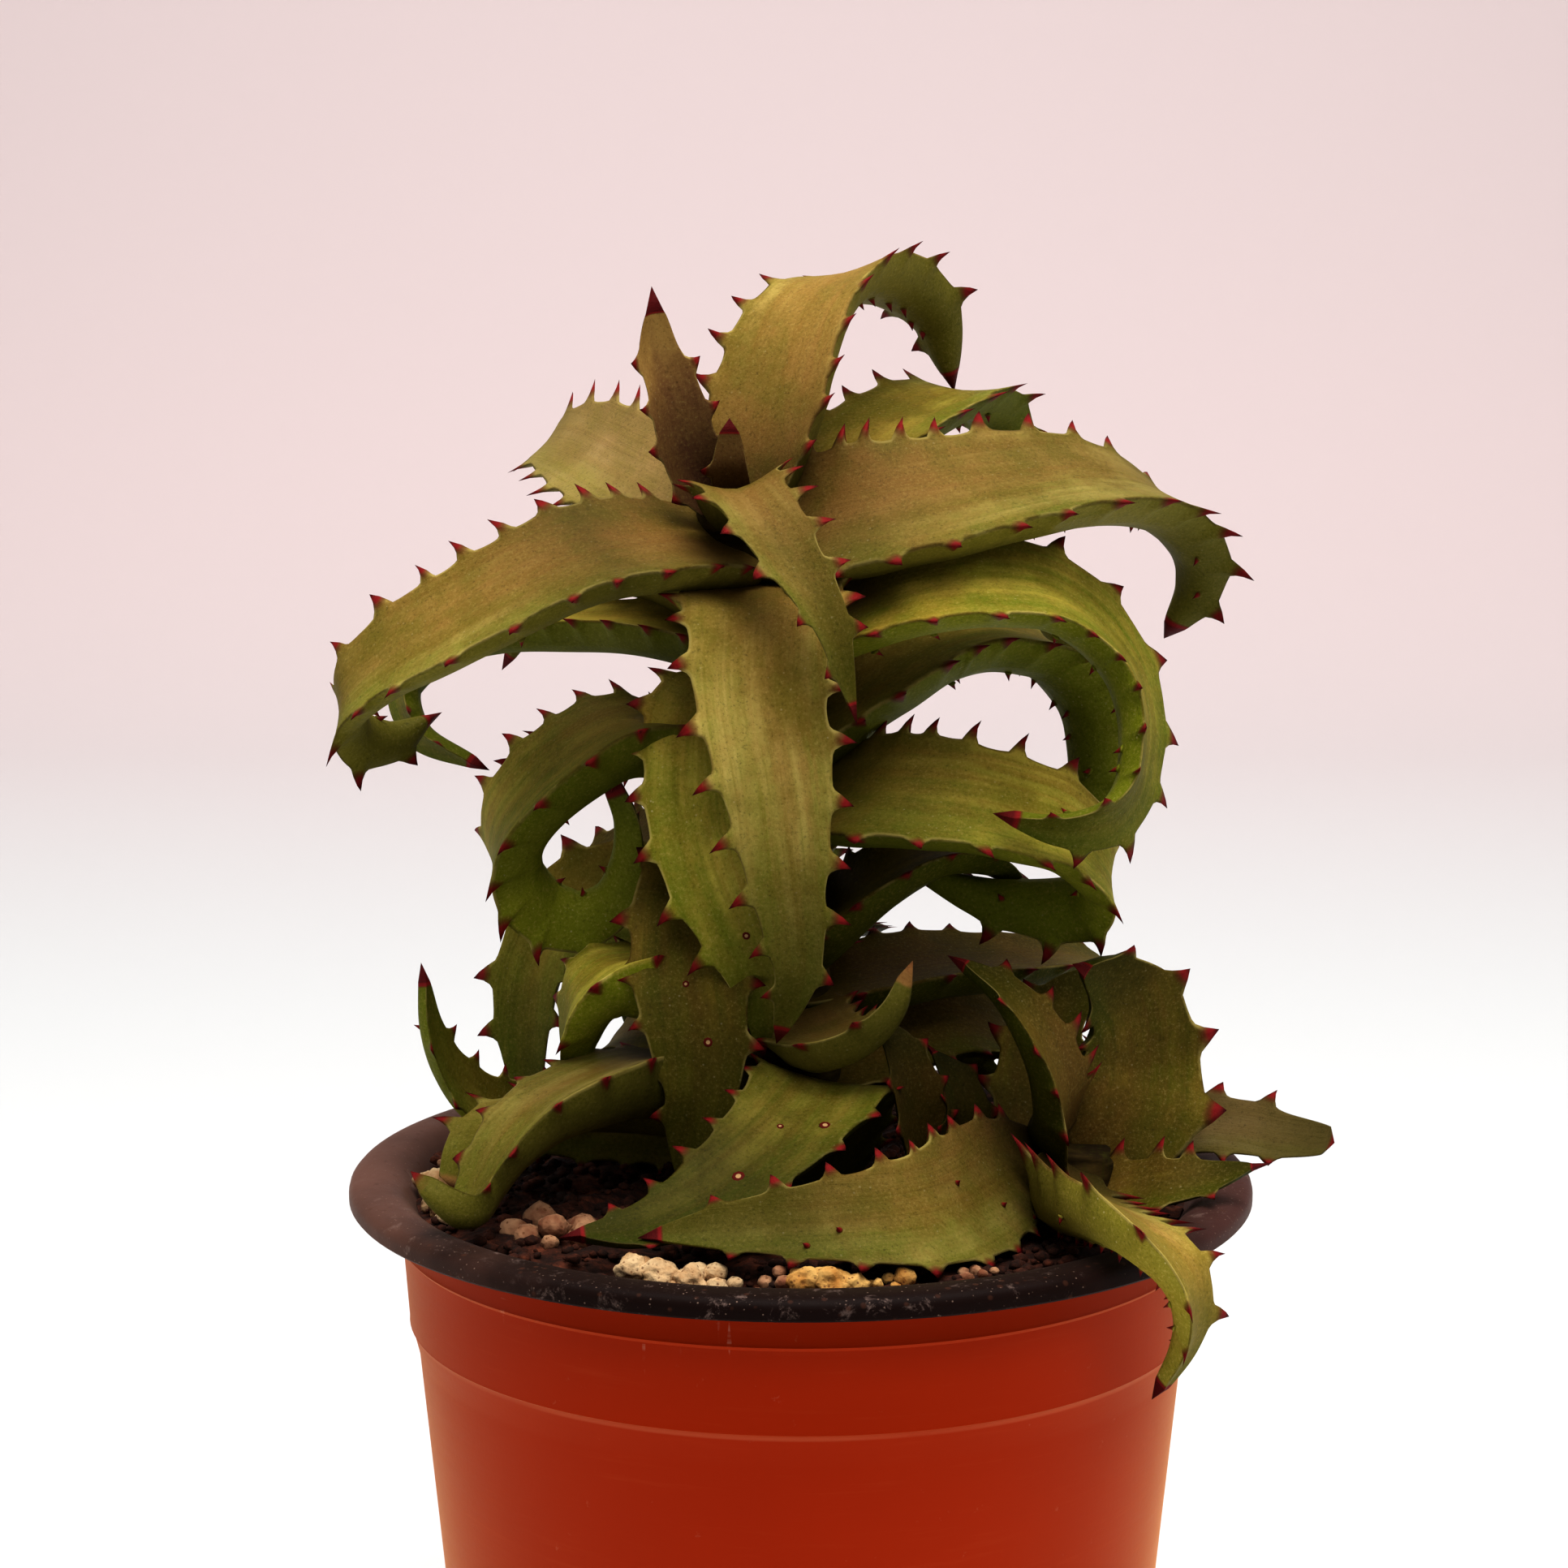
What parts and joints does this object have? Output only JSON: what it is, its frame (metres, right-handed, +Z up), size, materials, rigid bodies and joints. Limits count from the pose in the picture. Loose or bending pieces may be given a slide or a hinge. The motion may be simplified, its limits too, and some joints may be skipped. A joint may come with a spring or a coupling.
{
  "type": "potted succulent plant",
  "caption": "Potted castilloniae aloe: a tall stem of arching, hooked, toothed leaves with a side rosette and a pup, in a tapered nursery pot of dark soil and pumice.",
  "frame": {"origin": "centre of the pot's flat underside", "axes": "+Z up through the pot and plant; -Y towards the viewer of the pictured front; +X to that viewer's right"},
  "size_m": [0.1316, 0.1212, 0.2275],
  "materials": {
    "terracotta_plastic": "satin",
    "dark_rim": "scuffed satin",
    "soil": "crumbly matte",
    "pumice": "rough porous",
    "stem": "papery",
    "leaf_olive": "fine-grained satin",
    "leaf_green": "fine-grained satin",
    "leaf_shaded": "fine-grained satin",
    "leaf_young": "fine-grained satin"
  },
  "bodies": {
    "root": {"pot_body": "terracotta_plastic", "pot_liner": "dark_rim", "soil": "soil", "stem_main": "stem", "stem_offset": "stem", "stem_pup": "stem", "leaf_crown_front": "leaf_olive", "leaf_crown_bud": "leaf_young", "leaf_crown_young": "leaf_young", "leaf_hanging_front": "leaf_olive", "leaf_crown_left": "leaf_olive", "leaf_crown_right": "leaf_olive", "leaf_crown_back": "leaf_olive", "leaf_crown_right_back": "leaf_green", "leaf_crown_left_back": "leaf_green", "leaf_upper_left": "leaf_green", "leaf_upper_right": "leaf_green", "leaf_upper_right_inner": "leaf_green", "leaf_middle_right": "leaf_green", "leaf_hanging_left": "leaf_green", "leaf_left_ring": "leaf_green", "leaf_hanging_low": "leaf_shaded", "leaf_low_young": "leaf_olive", "leaf_low_centre": "leaf_green", "offset_leaf_front": "leaf_olive", "offset_leaf_folded": "leaf_shaded", "offset_leaf_over_rim": "leaf_green", "offset_leaf_right_low": "leaf_shaded", "offset_leaf_broad": "leaf_shaded", "offset_leaf_right": "leaf_shaded", "leaf_middle_right_under": "leaf_shaded", "leaf_low_left": "leaf_olive", "leaf_low_left_rough": "leaf_olive", "leaf_low_left_raised": "leaf_green", "leaf_left_low_arch": "leaf_green", "leaf_left_drooping": "leaf_green", "leaf_left_inner": "leaf_shaded", "leaf_left_low_back": "leaf_shaded", "leaf_low_right": "leaf_shaded", "leaf_low_right_under": "leaf_shaded", "leaf_right_behind": "leaf_shaded", "pup_leaf_left": "leaf_shaded", "pup_leaf_right": "leaf_shaded", "leaf_back_high": "leaf_olive", "leaf_back_high_left": "leaf_olive", "leaf_back_high_right": "leaf_olive", "leaf_back_middle": "leaf_green", "leaf_back_middle_left": "leaf_green", "leaf_back_middle_right": "leaf_green", "leaf_back_low": "leaf_green", "leaf_back_low_left": "leaf_shaded", "leaf_back_low_right": "leaf_shaded", "leaf_back_soil": "leaf_shaded", "offset_leaf_back": "leaf_shaded", "offset_leaf_back_left": "leaf_shaded", "pumice_left": "pumice", "pumice_left_front": "pumice", "pumice_front": "pumice", "pumice_front_stone": "pumice", "pumice_back": "pumice"}
  },
  "joints": []
}
